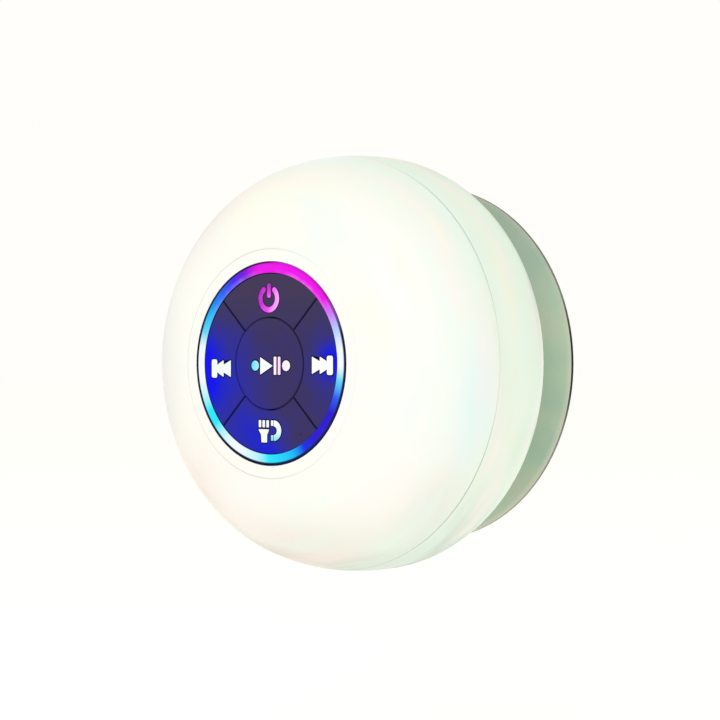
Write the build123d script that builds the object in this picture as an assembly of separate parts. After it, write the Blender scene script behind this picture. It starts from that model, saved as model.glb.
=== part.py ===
from build123d import *
import os
from math import acos, asin, cos, pi, radians, sin, sqrt

# Round, battery-powered shower speaker that hangs on a wall by one big suction cup.
# Units are millimetres, +Z is up.  The axis of the round body is Y.  The wall is the plane y = 0,
# the body stands out from it towards -Y, and +X is to the right of someone who faces the keys.
# "Front" means the user's side (-Y), "rear" the wall's side (+Y).

# ---- driving dimensions -------------------------------------------------------------------------
DEPTH = 50.4           # wall to the front face of the light ring
BODY_R = 43.0          # largest radius of the body
EQUATOR_Y = -21.4      # where the body is widest
SEAM_Y = -31.2         # where the front and rear shells meet
RIM_Y = -16.2          # rear edge of the body
RIM_R = 41.9
RIM_W = 3.4            # width of the rim that stands round the rear plate
LAND_R = 22.6          # flat land round the light ring
DOME_POWER = 2.3       # superellipse exponent of the front dome
WALL = 2.2             # moulded wall thickness
CUP_R = 38.2           # suction cup lip

RING_R = 19.8          # light ring, outside
RING_BORE = 17.9       # light ring, inside
RING_GAP = 0.25        # shadow gap round the light ring
FLANGE_R = 21.8        # flange that traps the ring behind the dome
KEY_R = 17.7           # outer edge of the outer keys
CENTRE_KEY_R = 8.95
KEY_GAP = 0.3
KEY_TRAVEL = 0.4
SWITCH_R = 13.4        # distance of the outer switches from the axis
MIC_X, MIC_Z = 8.4, -13.7
BOOT_R = 1.2           # neck of the microphone's boot
MIC_R = 2.0
NUB_R = 1.6            # nub behind each key
PLUNGER_R = 1.5

# ---- stations along the axis, from the front to the rear -----------------------------------------
RING_FRONT = -DEPTH
LAND_Y = RING_FRONT + 0.2
KEY_TOP = RING_FRONT + 0.2
KEY_BACK = KEY_TOP + 1.6
SHELL_INNER = LAND_Y + WALL - 0.1
FLANGE_FRONT = SHELL_INNER
FLANGE_BACK = FLANGE_FRONT + 1.3
WEB_FRONT = KEY_BACK + KEY_TRAVEL + 0.1
WEB_BACK = WEB_FRONT + 0.6
NUB_BACK = KEY_BACK + 1.7
FRAME_BACK = FLANGE_BACK + 1.0
BOARD_FRONT = -43.6
BOARD_BACK = BOARD_FRONT + 1.2
PAD_BACK = BOARD_BACK + 0.5
BATTERY_BACK = PAD_BACK + 4.8
YOKE_FRONT = -36.8
YOKE_BACK = YOKE_FRONT + 1.6
MAGNET_BACK = YOKE_BACK + 4.2
TOP_PLATE_BACK = MAGNET_BACK + 1.6
LAMP_FRONT = -32.4
LAMP_BACK = LAMP_FRONT + 1.2
LAMP_R, LAMP_BORE = 30.5, 20.0
PLATE_FRONT = -19.2    # rear plate of the case, inside
PLATE_BACK = -17.4     # rear plate of the case, outside
MESH_FRONT = PLATE_FRONT - 0.25
GASKET_FRONT = MESH_FRONT - 0.5
SURROUND_T = 0.25
FLANGE_REAR = GASKET_FRONT - SURROUND_T
BASKET_FLANGE_T = 0.8

# ---- screws, posts and the cup's stem --------------------------------------------------------------
BOARD_R = 28.0
BOARD_POST_R = 25.3    # distance of the board posts from the axis
CASE_POST_R = 34.0     # distance of the case posts from the axis
CASE_SPLIT_Y = -27.0   # where the front and rear case posts meet
LAMP_POST_R = 26.5
BOARD_POST, BOARD_PILOT = 2.4, 1.0                  # radii of a post and of the hole in it
FRONT_CASE_POST, CASE_PILOT = 2.8, 1.3
REAR_CASE_POST, CASE_CLEARANCE, CASE_COUNTERBORE = 3.6, 1.5, 2.7
CASE_HEAD_Y = -23.0                                 # under the heads of the case screws
SMALL_POST, SMALL_PILOT = 1.9, 0.85
LAMP_POST = 2.0
DRIVER_EAR_R = 22.6
DIAGONALS = (45, 135, 225, 315)
LAMP_POST_ANGLES = (90, 210, 330)
STEM_R = 5.4
STEM_CLEARANCE = 0.05
BULB_R = 6.6
SOCKET_R = 9.0         # outside of the boss that holds the cup's stem
SOCKET_END = -13.4
BULB_FRONT = -17.6
BULB_BACK = -15.8

# ---- charging port, in the lower side of the body ---------------------------------------------------
PORT_Y = -23.4
PORT_FLOOR_Z = -41.3
PLUG_X0, PLUG_X1 = -7.5, 7.1
PLUG_W = 7.2
PLUG_FIT = 0.25
HINGE_X = 7.2
SOCKET_W, SOCKET_H, SOCKET_L = 8.94, 3.26, 7.3
SOCKET_MOUTH_Z = -39.8
CHARGE_SCREW_X, CHARGE_SCREW_Z = 4.8, -30.6
STRAP_X1 = 9.8
STRAP_PEG_X = 8.6

KEYS = {               # key name: direction from the centre, in degrees (None is the centre key)
    "next": 0,
    "power": 90,
    "previous": 180,
    "light_call": 270,
    "play_pause": None,
}


# ---- small tools --------------------------------------------------------------------------------
def turned(points):
    """Solid turned about the Y axis from a closed outline of (radius, y) points."""
    return revolve(make_face(Polyline(*points, close=True)), axis=Axis.Y)


def turned_edges(*edges):
    """Solid turned about the Y axis from a closed outline of edges."""
    return revolve(make_face(Curve() + list(edges)), axis=Axis.Y)


def tube(outer, inner, y0, y1):
    return turned([(inner, y0), (outer, y0), (outer, y1), (inner, y1)])


def rod(radius, y0, y1, x=0.0, z=0.0):
    """Cylinder along Y from y0 to y1."""
    return Pos(x, (y0 + y1) / 2, z) * Rot(90, 0, 0) * Cylinder(radius, abs(y1 - y0))


def block(x0, x1, y0, y1, z0, z1):
    return Pos((x0 + x1) / 2, (y0 + y1) / 2, (z0 + z1) / 2) * Box(x1 - x0, y1 - y0, z1 - z0)


def polar(radius, degrees):
    """(x, z) at a distance and direction from the axis; 0 is +X and 90 is +Z."""
    return radius * cos(radians(degrees)), radius * sin(radians(degrees))


def round_block(width, height, length, corner, x, y, z0):
    """Bar along +Z from z0, with a rounded rectangle of width (X) by height (Y) as its section."""
    section = Plane.XY.offset(z0) * Pos(x, y) * RectangleRounded(width, height, corner)
    return extrude(section, length)


def screw(x, z, head_y, tip_y, shank_r, head_r, head_t):
    """Pan-head screw along Y.  head_y is under the head; the tip lies on the other side of it."""
    side = 1 if tip_y < head_y else -1
    top_y = head_y + side * head_t
    head = rod(head_r, head_y, top_y, x, z)
    rims = head.edges().filter_by(GeomType.CIRCLE).sort_by(Axis.Y)
    body = fillet(rims[-1 if side > 0 else 0], 0.3 * head_t) + rod(shank_r, head_y, tip_y, x, z)
    recess_y = sorted((top_y, top_y - side * 0.5))
    long, short = 0.55 * head_r, 0.2 * head_r
    for a, b in ((long, short), (short, long)):
        body -= block(x - a, x + a, *recess_y, z - b, z + b)
    return body


def bundle(solids):
    """Several separate solids as one node."""
    return Compound(children=[s for part in solids for s in part.solids()])


# ---- the dome's outline ---------------------------------------------------------------------------
def dome_point(t, inset=0.0):
    """Point of the front dome's outline: t = 0 at the land's edge, pi/2 at the equator."""
    share = 2 / DOME_POWER
    radius = LAND_R + (BODY_R - inset - LAND_R) * sin(t) ** share
    y = EQUATOR_Y - (EQUATOR_Y - LAND_Y - inset) * cos(t) ** share
    return radius, y


def dome_parameter(y, inset=0.0):
    """Parameter at which the dome's outline passes a station y."""
    return acos(((EQUATOR_Y - y) / (EQUATOR_Y - LAND_Y - inset)) ** (DOME_POWER / 2))


def dome_curve(t0, t1, inset=0.0, steps=9):
    """Spline along the dome's outline between two parameters."""
    points = [dome_point(t0 + (t1 - t0) * i / steps, inset) for i in range(steps + 1)]
    return Spline(*points)


def outer_skin():
    """The body's whole outer form as one solid, to trim things flush with it."""
    t_top = pi / 2
    dome = dome_curve(0.0, t_top)
    rim = ThreePointArc(dome_point(t_top), rear_arc_point(0.5), (RIM_R, RIM_Y))
    close = Polyline((RIM_R, RIM_Y), (0, RIM_Y), (0, LAND_Y), dome_point(0.0))
    return turned_edges(dome, rim, close)


def dome_core(inset):
    """The space under the dome, a given depth below its surface."""
    top, side = dome_point(0.0, inset), dome_point(pi / 2, inset)
    close = Polyline(side, (0, side[1]), (0, top[1]), top)
    return turned_edges(dome_curve(0.0, pi / 2, inset), close)


def rear_arc_point(share):
    """Point on the short arc from the equator back to the rim."""
    rise = RIM_Y - EQUATOR_Y
    drop = BODY_R - RIM_R
    radius = (rise**2 + drop**2) / (2 * drop)
    angle = share * asin(rise / radius)
    return BODY_R - radius * (1 - cos(angle)), EQUATOR_Y + radius * sin(angle)


# ---- casing ---------------------------------------------------------------------------------------
TONGUE_END = SEAM_Y + 2.1
SEAL_BACK = TONGUE_END + 0.9
SEAM_R = dome_point(dome_parameter(SEAM_Y))[0]
TONGUE_R = SEAM_R - 1.2
INNER_R = BODY_R - WALL


def front_shell():
    """Milky dome with the land and opening for the light ring, tongue, and screw posts."""
    t_seam = dome_parameter(SEAM_Y)
    t_inner = dome_parameter(SEAM_Y, WALL)
    inner_seam = dome_point(t_inner, WALL)
    outer = dome_curve(0.0, t_seam)
    inner = dome_curve(0.0, t_inner, WALL)
    opening = RING_R + RING_GAP
    crease = 0.12
    front = Polyline(
        dome_point(0.0),
        (LAND_R, LAND_Y - crease),
        (opening + 0.2, LAND_Y - crease),
        (opening, LAND_Y - crease + 0.2),
        (opening, SHELL_INNER),
        (LAND_R, SHELL_INNER),
        dome_point(0.0, WALL),
    )
    seam = Polyline(
        inner_seam,
        (inner_seam[0], TONGUE_END),
        (TONGUE_R, TONGUE_END),
        (TONGUE_R, SEAM_Y),
        (SEAM_R, SEAM_Y),
    )
    shell = turned_edges(outer, front, inner, seam)
    for angle in DIAGONALS:
        x, z = polar(BOARD_POST_R, angle)
        shell += rod(BOARD_POST, SHELL_INNER - 0.4, BOARD_FRONT, x, z)
        shell -= rod(BOARD_PILOT, SHELL_INNER + 0.6, BOARD_FRONT + 1, x, z)
        x, z = polar(CASE_POST_R, angle)
        post = rod(FRONT_CASE_POST, -46.0, CASE_SPLIT_Y, x, z) & dome_core(0.5 * WALL)
        shell += post - rod(CASE_PILOT, -38.0, CASE_SPLIT_Y + 1, x, z)
    return shell - seam_groove()


def seam_groove():
    """Shallow V that shows where the two shells meet."""
    half, deep = 0.16, 0.3
    return turned(
        [(SEAM_R + 0.2, SEAM_Y - half), (SEAM_R - deep, SEAM_Y), (SEAM_R + 0.2, SEAM_Y + half)]
    )


def rear_shell():
    """Milky rear half: side band, rear plate with grille and cup socket, posts, and port pocket."""
    t_seam = dome_parameter(SEAM_Y)
    band = dome_curve(t_seam, pi / 2, steps=4)
    rim = ThreePointArc(dome_point(pi / 2), rear_arc_point(0.5), (RIM_R, RIM_Y))
    recess = TONGUE_R + 0.1
    plate = Polyline(
        (RIM_R, RIM_Y),
        (RIM_R - RIM_W, RIM_Y),
        (RIM_R - RIM_W - 0.6, PLATE_BACK),
        (0, PLATE_BACK),
        (0, PLATE_FRONT),
        (INNER_R - 1.6, PLATE_FRONT),
        (INNER_R - 0.8, PLATE_FRONT - 0.8),
        (INNER_R - 0.8, SEAL_BACK),
        (recess, SEAL_BACK),
        (recess, SEAM_Y),
        (SEAM_R, SEAM_Y),
    )
    shell = turned_edges(band, rim, plate)
    shell += cup_socket()
    shell -= seam_groove()
    shell += rear_posts()
    shell -= rear_holes()
    return charging_pocket(shell)


def cup_socket():
    """Boss with an undercut chamber that holds the suction cup's stem."""
    return tube(SOCKET_R, STEM_R, PLATE_BACK - 0.2, SOCKET_END)


def rear_posts():
    posts = Part()
    for angle in DIAGONALS:
        x, z = polar(CASE_POST_R, angle)
        posts += rod(REAR_CASE_POST, CASE_SPLIT_Y, PLATE_FRONT + 0.4, x, z)
        x, z = polar(DRIVER_EAR_R, angle)
        posts += rod(SMALL_POST, FLANGE_REAR, PLATE_FRONT + 0.4, x, z)
    for angle in LAMP_POST_ANGLES:
        x, z = polar(LAMP_POST_R, angle)
        posts += rod(LAMP_POST, LAMP_BACK, PLATE_FRONT + 0.4, x, z)
    for x in (-CHARGE_SCREW_X, CHARGE_SCREW_X):
        posts += rod(SMALL_POST, charge_board_back(), PLATE_FRONT + 0.4, x, CHARGE_SCREW_Z)
    return posts


def rear_holes():
    """Screw holes and counterbores, the grille's slots, and the chamber for the cup's bulb."""
    chamber = BULB_R + 0.3
    holes = rod(STEM_R, PLATE_BACK - 0.5, SOCKET_END + 1)
    holes += rod(chamber, BULB_FRONT - 0.2, BULB_BACK + 0.2)
    for angle in DIAGONALS:
        x, z = polar(CASE_POST_R, angle)
        holes += rod(CASE_CLEARANCE, CASE_SPLIT_Y - 1, RIM_Y, x, z)
        holes += rod(CASE_COUNTERBORE, CASE_HEAD_Y, RIM_Y + 1, x, z)
        x, z = polar(DRIVER_EAR_R, angle)
        holes += rod(SMALL_PILOT, FLANGE_REAR - 1, PLATE_BACK - 0.5, x, z)
    for angle in LAMP_POST_ANGLES:
        x, z = polar(LAMP_POST_R, angle)
        holes += rod(SMALL_PILOT, LAMP_BACK - 1, LAMP_BACK + 6, x, z)
    for x in (-CHARGE_SCREW_X, CHARGE_SCREW_X):
        holes += rod(SMALL_PILOT, charge_board_back() - 1, PLATE_BACK - 0.5, x, CHARGE_SCREW_Z)
    slots, slot_r, slot_l, slot_w = 24, 14.1, 7.4, 1.3
    for i in range(slots):
        slot = Plane.XZ * Pos(slot_r, 0) * SlotOverall(slot_l, slot_w)
        bar = Pos(0, PLATE_BACK + 1, 0) * extrude(slot, 4)
        holes += Rot(0, 360 * i / slots, 0) * bar
    return holes


def charge_board_back():
    return PORT_Y + SOCKET_H / 2 + 1.0


def charging_pocket(shell):
    """Thickens the lower wall, then cuts the plug's pocket, the socket's slot and a nail notch."""
    pad = block(-10.5, 10.5, SEAL_BACK, PORT_Y + 4.6, -41.6, -38.4)
    shell += pad & rod(BODY_R - 0.5 * WALL, SEAL_BACK - 1, RIM_Y)
    span = PLUG_X1 - PLUG_X0
    middle = (PLUG_X0 + PLUG_X1) / 2
    shell -= round_block(
        span + 2 * PLUG_FIT, PLUG_W + 2 * PLUG_FIT, -4.0, 2.6, middle, PORT_Y, PORT_FLOOR_Z
    )
    shell -= round_block(9.6, 3.9, 5.0, 1.9, 0, PORT_Y, PORT_FLOOR_Z - 1)
    shell -= block(PLUG_X1, STRAP_X1, PORT_Y - 2.1, PORT_Y + 2.1, -45, PORT_FLOOR_Z)
    shell -= Pos(STRAP_PEG_X, PORT_Y, -41) * Cylinder(0.85, 4.4)
    notch = Pos(PLUG_X0 - 0.3, PORT_Y, -43.4) * Sphere(1.7)
    return shell - notch


def case_seal():
    """Square-section ring squeezed between the tongue and the rear shell's ledge."""
    inner = dome_point(dome_parameter(SEAM_Y, WALL), WALL)[0]
    return tube(TONGUE_R, max(inner, INNER_R - 0.7), TONGUE_END, SEAL_BACK)


def case_screws():
    return bundle(
        screw(*polar(CASE_POST_R, a), CASE_HEAD_Y, -35.0, 1.25, 2.4, 1.6) for a in DIAGONALS
    )


# ---- light ring and keys --------------------------------------------------------------------------
def light_ring():
    """Clear light guide: a crowned front ring on a flange that is trapped behind the dome."""
    inner_drop, outer_drop = 0.15, 0.25
    crown = ThreePointArc(
        (RING_BORE, RING_FRONT + inner_drop),
        ((RING_BORE + RING_R) / 2 - 0.1, RING_FRONT),
        (RING_R, RING_FRONT + outer_drop),
    )
    body = Polyline(
        (RING_R, RING_FRONT + outer_drop),
        (RING_R, FLANGE_FRONT),
        (FLANGE_R, FLANGE_FRONT),
        (FLANGE_R, FLANGE_BACK),
        (RING_BORE, FLANGE_BACK),
        (RING_BORE, RING_FRONT + inner_drop),
    )
    return turned_edges(crown, body)


def key_frame():
    """Opaque plate behind the web, with a wall that stands on the main board."""
    wall = 1.2
    frame = turned(
        [
            (0, WEB_BACK),
            (KEY_R - 0.1, WEB_BACK),
            (KEY_R - 0.1, FLANGE_BACK),
            (FLANGE_R, FLANGE_BACK),
            (FLANGE_R, BOARD_FRONT),
            (FLANGE_R - wall, BOARD_FRONT),
            (FLANGE_R - wall, FRAME_BACK),
            (0, FRAME_BACK),
        ]
    )
    for x, z in switch_places():
        frame -= rod(2.1, WEB_BACK - 1, BOARD_FRONT, x, z)
    frame -= rod(BOOT_R, WEB_BACK - 1, BOARD_FRONT, MIC_X, MIC_Z)
    for x, z in led_places():
        frame -= rod(1.1, WEB_BACK - 1, BOARD_FRONT, x, z)
    return frame


def switch_places():
    return [(0, 0) if a is None else polar(SWITCH_R, a) for a in KEYS.values()]


def led_places():
    return [polar(18.9, 15 + 30 * i) for i in range(12)]


def keypad_web():
    """Rubber sheet under the keys, open round each key's nub and under the microphone hole."""
    web = rod(KEY_R, WEB_FRONT, WEB_BACK)
    for x, z in switch_places():
        web -= rod(2.0, WEB_FRONT - 1, WEB_BACK + 1, x, z)
    return web - rod(0.6, WEB_FRONT - 1, WEB_BACK + 1, MIC_X, MIC_Z)


def key_pad(angle):
    """One key: the round centre key, or a quarter of the ring around it, with its nub."""
    if angle is None:
        pad = rod(CENTRE_KEY_R, KEY_TOP, KEY_BACK)
        x, z = 0, 0
    else:
        pad = tube(KEY_R, CENTRE_KEY_R + KEY_GAP, KEY_TOP, KEY_BACK)
        pad &= quarter(angle)
        x, z = polar(SWITCH_R, angle)
    pad = fillet(pad.edges().group_by(Axis.Y)[0], 0.18)
    pad += rod(NUB_R, KEY_BACK - 0.2, NUB_BACK, x, z)
    if angle == KEYS["light_call"]:
        pad -= rod(0.4, KEY_TOP - 1, KEY_BACK + 1, MIC_X, MIC_Z)
    return pad


def quarter(angle):
    """Wedge of 90 degrees about the Y axis whose sides stand half a key gap off the diagonals."""
    tip = polar(KEY_GAP / sqrt(2), angle)
    side = [polar(40, angle + s) for s in (-45, 45)]
    corners = [tip] + [(tip[0] + x, tip[1] + z) for x, z in side]
    wedge = make_face(Polyline(*[(x, 0, z) for x, z in corners], close=True))
    return Pos(0, KEY_BACK + 1, 0) * extrude(wedge, 4, dir=(0, -1, 0))


# ---- main board -----------------------------------------------------------------------------------
SWITCH_TOP = BOARD_FRONT - 2.2


def plunger(angle):
    x, z = (0, 0) if angle is None else polar(SWITCH_R, angle)
    return rod(PLUNGER_R, NUB_BACK, SWITCH_TOP + 0.4, x, z)


def switch_bodies():
    """Five tactile switches, each with a well for its plunger."""
    bodies = []
    for x, z in switch_places():
        body = block(x - 3, x + 3, SWITCH_TOP, BOARD_FRONT, z - 3, z + 3)
        body = chamfer(body.edges().filter_by(Axis.Y), 0.5)
        bodies.append(body - rod(PLUNGER_R + 0.2, SWITCH_TOP - 1, SWITCH_TOP + 1.2, x, z))
    return bundle(bodies)


def main_board():
    board = rod(BOARD_R, BOARD_FRONT, BOARD_BACK)
    for angle in DIAGONALS:
        x, z = polar(BOARD_POST_R, angle)
        board -= rod(1.2, BOARD_FRONT - 1, BOARD_BACK + 1, x, z)
    return board


def board_screws():
    return bundle(
        screw(*polar(BOARD_POST_R, a), BOARD_BACK, -46.8, 0.95, 2.0, 1.2) for a in DIAGONALS
    )


def ring_leds():
    return bundle(
        block(x - 0.8, x + 0.8, BOARD_FRONT - 0.8, BOARD_FRONT, z - 0.8, z + 0.8)
        for x, z in led_places()
    )


def bluetooth_chip():
    return block(-9.5, -3.5, BOARD_BACK, BOARD_BACK + 0.9, 13.0, 19.0)


def amplifier_chip():
    return block(4.0, 9.0, BOARD_BACK, BOARD_BACK + 1.5, 12.6, 16.6)


def board_capacitors():
    """Two small electrolytic cans beside the battery."""
    return bundle(rod(2.0, BOARD_BACK, BOARD_BACK + 4.5, x, -14.5) for x in (-9.0, 9.0))


def microphone():
    return rod(MIC_R, BOARD_FRONT - 1.5, BOARD_FRONT, MIC_X, MIC_Z)


def microphone_boot():
    """Soft tube that carries sound from the pinhole to the capsule."""
    boot = rod(BOOT_R, WEB_BACK, FRAME_BACK, MIC_X, MIC_Z)
    boot += rod(MIC_R, FRAME_BACK, BOARD_FRONT - 1.5, MIC_X, MIC_Z)
    return boot - rod(0.6, WEB_BACK - 1, BOARD_FRONT, MIC_X, MIC_Z)


def battery_pad():
    return block(-14, 14, BOARD_BACK, PAD_BACK, -9, 9)


def battery():
    """Pouch cell with its folded top seam."""
    cell = block(-15, 15, PAD_BACK, BATTERY_BACK, -10, 10)
    cell = fillet(cell.edges().filter_by(Axis.Z), 1.6)
    return cell + block(15, 17, PAD_BACK + 1.6, PAD_BACK + 3.2, -8.5, 8.5)


# ---- lamp that lights the body --------------------------------------------------------------------
def lamp_board():
    board = tube(LAMP_R, LAMP_BORE, LAMP_FRONT, LAMP_BACK)
    for angle in LAMP_POST_ANGLES:
        x, z = polar(LAMP_POST_R, angle)
        board -= rod(1.1, LAMP_FRONT - 1, LAMP_BACK + 1, x, z)
    return board


def lamp_leds():
    leds = []
    for i in range(6):
        led = block(23.2, 28.2, LAMP_FRONT - 1.6, LAMP_FRONT, -2.5, 2.5)
        led -= rod(2.0, LAMP_FRONT - 2, LAMP_FRONT - 1.3, 25.7, 0)
        leds.append(Rot(0, 60 * i, 0) * led)
    return bundle(leds)


def lamp_screws():
    return bundle(
        screw(*polar(LAMP_POST_R, a), LAMP_FRONT, LAMP_BACK + 4, 0.8, 1.7, 1.0)
        for a in LAMP_POST_ANGLES
    )


# ---- loudspeaker driver, which faces the wall -------------------------------------------------------
FLANGE_FACE = FLANGE_REAR - BASKET_FLANGE_T
BASKET_BASE = TOP_PLATE_BACK + 0.8
COIL_R = 5.3
CONE_R = 14.2
CONE_EDGE_Y = -20.9
CONE_NECK_Y = -25.2
TERMINAL_L = 4.0


def speaker_mesh():
    return rod(20.0, MESH_FRONT, PLATE_FRONT)


def driver_gasket():
    return tube(20.0, 17.2, GASKET_FRONT, MESH_FRONT)


def driver_basket():
    """Pressed frame: flange with four ears, open conical arms, spider shelf and base."""
    basket = turned(
        [
            (20.0, FLANGE_REAR),
            (16.9, FLANGE_REAR),
            (16.9, FLANGE_FACE),
            (12.2, BASKET_BASE),
            (5.9, BASKET_BASE),
            (5.9, TOP_PLATE_BACK),
            (12.4, TOP_PLATE_BACK),
            (13.1, BASKET_BASE - 0.3),
            (17.7, FLANGE_FACE),
            (20.0, FLANGE_FACE),
        ]
    )
    for angle in DIAGONALS:
        x, z = polar(DRIVER_EAR_R, angle)
        arm = block(17.8, DRIVER_EAR_R, FLANGE_FACE, FLANGE_REAR, -2.2, 2.2)
        basket += Rot(0, -angle, 0) * arm
        basket += rod(2.2, FLANGE_FACE, FLANGE_REAR, x, z)
        basket -= rod(1.0, FLANGE_FACE - 1, FLANGE_REAR + 1, x, z)
    for i in range(6):
        window = block(10.5, 18.0, BASKET_BASE + 1.2, FLANGE_FACE - 0.9, -3.4, 3.4)
        basket -= Rot(0, 30 + 60 * i, 0) * window
    return basket


def driver_top_plate():
    return tube(12.0, 5.8, MAGNET_BACK, TOP_PLATE_BACK)


def driver_magnet():
    ring = tube(13.5, 7.2, YOKE_BACK, MAGNET_BACK)
    return chamfer(ring.edges().filter_by(GeomType.CIRCLE).sort_by(SortBy.RADIUS)[-2:], 0.5)


def driver_yoke():
    """Back plate with the pole piece that stands inside the voice coil."""
    yoke = rod(12.5, YOKE_FRONT, YOKE_BACK) + rod(4.9, YOKE_BACK - 0.1, TOP_PLATE_BACK)
    return chamfer(yoke.edges().group_by(Axis.Y)[0], 0.4)


def voice_coil():
    former = tube(COIL_R, COIL_R - 0.15, MAGNET_BACK - 1.5, CONE_NECK_Y)
    winding = tube(COIL_R + 0.25, COIL_R - 0.05, MAGNET_BACK - 1.2, TOP_PLATE_BACK + 1.0)
    return former + winding


def driver_cone():
    thick = 0.35
    return turned(
        [
            (COIL_R, CONE_NECK_Y - thick),
            (COIL_R + 0.1, CONE_NECK_Y),
            (CONE_R, CONE_EDGE_Y),
            (CONE_R, CONE_EDGE_Y - thick),
            (COIL_R + 0.3, CONE_NECK_Y - 2 * thick),
            (COIL_R, CONE_NECK_Y - 2 * thick),
        ]
    )


def cap_height(radius, rise, seat_r):
    """Height above its edge of a spherical cap of the given rise, at a distance from its axis."""
    sphere = (seat_r**2 + rise**2) / (2 * rise)
    return rise - sphere + sqrt(sphere**2 - radius**2)


def dust_cap():
    """Thin spherical cap glued to the cone over the coil."""
    seat_r, thick, rise = 6.2, 0.3, 1.5
    slope = (CONE_EDGE_Y - CONE_NECK_Y) / (CONE_R - COIL_R - 0.1)
    seat_y = CONE_NECK_Y + (seat_r - COIL_R - 0.1) * slope + 0.02
    half = seat_r / 2
    half_y = seat_y + cap_height(half, rise - thick, seat_r)
    inner_top = seat_y + rise - thick
    outer = ThreePointArc((0, inner_top + thick), (half, half_y + thick), (seat_r, seat_y + thick))
    inner = ThreePointArc((seat_r, seat_y), (half, half_y), (0, inner_top))
    edge = Line((seat_r, seat_y + thick), (seat_r, seat_y))
    axis = Line((0, inner_top), (0, inner_top + thick))
    return turned_edges(outer, edge, inner, axis)


def driver_surround():
    """Rubber half-roll from the cone's edge to the flange, rolled away from the wall."""
    rim_r = 19.9
    roll_r0, roll_r1 = CONE_R + 0.02, 16.8
    middle = (roll_r0 + roll_r1) / 2
    top, low = FLANGE_REAR + SURROUND_T, FLANGE_REAR
    depth = 1.5
    upper = ThreePointArc((roll_r0, top - 0.3), (middle, top - depth), (roll_r1, top))
    foot = (roll_r1 - 0.1, low - 0.02)
    lower = ThreePointArc(foot, (middle, low - depth), (roll_r0, low - 0.3))
    rim = Polyline((roll_r1, top), (rim_r, top), (rim_r, low), (roll_r1 - 0.1, low), foot)
    edge = Line((roll_r0, low - 0.3), (roll_r0, top - 0.3))
    return turned_edges(upper, rim, lower, edge)


def driver_spider():
    """Corrugated disc that centres the coil, glued to the basket's base at its outer edge."""
    inner_r, outer_r, thick = COIL_R + 0.3, 11.8, 0.25
    waves, height = 3, 0.5
    base = BASKET_BASE + 0.25
    count = 2 * waves + 1
    rows = []
    for i in range(count + 1):
        radius = inner_r + (outer_r - inner_r) * i / count
        lift = height if i % 2 else 0.0
        rows.append((radius, base + (lift if i < count else -0.25)))
    upper = [(r, y + thick) for r, y in reversed(rows)]
    return turned(rows + upper)


def driver_terminals():
    return block(-4.5, 4.5, FLANGE_FACE - TERMINAL_L, FLANGE_FACE, 17.9, 18.8)


def driver_screws():
    return bundle(
        screw(*polar(DRIVER_EAR_R, a), FLANGE_FACE, PLATE_BACK - 0.7, 0.8, 1.8, 1.1)
        for a in DIAGONALS
    )


# ---- charging port ----------------------------------------------------------------------------------
def charge_board():
    y1 = charge_board_back()
    board = block(-7.2, 7.2, y1 - 1.0, y1, -38.2, -28.4)
    for x in (-CHARGE_SCREW_X, CHARGE_SCREW_X):
        board -= rod(1.1, y1 - 3, y1 + 1, x, CHARGE_SCREW_Z)
    return board


def charge_socket():
    """Metal shell of the charging receptacle, open downwards."""
    shell = round_block(SOCKET_W, SOCKET_H, SOCKET_L, 1.6, 0, PORT_Y, SOCKET_MOUTH_Z)
    wall = 0.3
    cavity = round_block(
        SOCKET_W - 2 * wall, SOCKET_H - 2 * wall, SOCKET_L - 1.2, 1.3, 0, PORT_Y, SOCKET_MOUTH_Z - 0.01
    )
    return shell - cavity


def charge_tongue():
    """Contact tongue inside the receptacle."""
    top = SOCKET_MOUTH_Z + SOCKET_L - 1.2 - 0.01
    return block(-3.3, 3.3, PORT_Y - 0.35, PORT_Y + 0.35, SOCKET_MOUTH_Z + 1.0, top)


def charge_screws():
    under_head = charge_board_back() - 1.0
    return bundle(
        screw(x, CHARGE_SCREW_Z, under_head, PLATE_BACK - 0.8, 0.8, 1.6, 0.9)
        for x in (-CHARGE_SCREW_X, CHARGE_SCREW_X)
    )


def port_plug():
    """Soft cover, flush with the body, with a nub that enters the slot over the receptacle."""
    span = PLUG_X1 - PLUG_X0
    middle = (PLUG_X0 + PLUG_X1) / 2
    cap = round_block(span, PLUG_W, -4.0, 2.4, middle, PORT_Y, PORT_FLOOR_Z - 0.1) & outer_skin()
    return cap + round_block(9.0, 3.3, 1.3, 1.6, 0, PORT_Y, PORT_FLOOR_Z - 0.1)


def port_strap():
    """The end of the cover's strap that stays in the body, with its peg."""
    strap = block(HINGE_X + 0.1, STRAP_X1 - 0.2, PORT_Y - 1.9, PORT_Y + 1.9, -45, PORT_FLOOR_Z)
    strap &= outer_skin()
    return strap + Pos(STRAP_PEG_X, PORT_Y, PORT_FLOOR_Z + 0.8) * Cylinder(0.8, 1.8)


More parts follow.
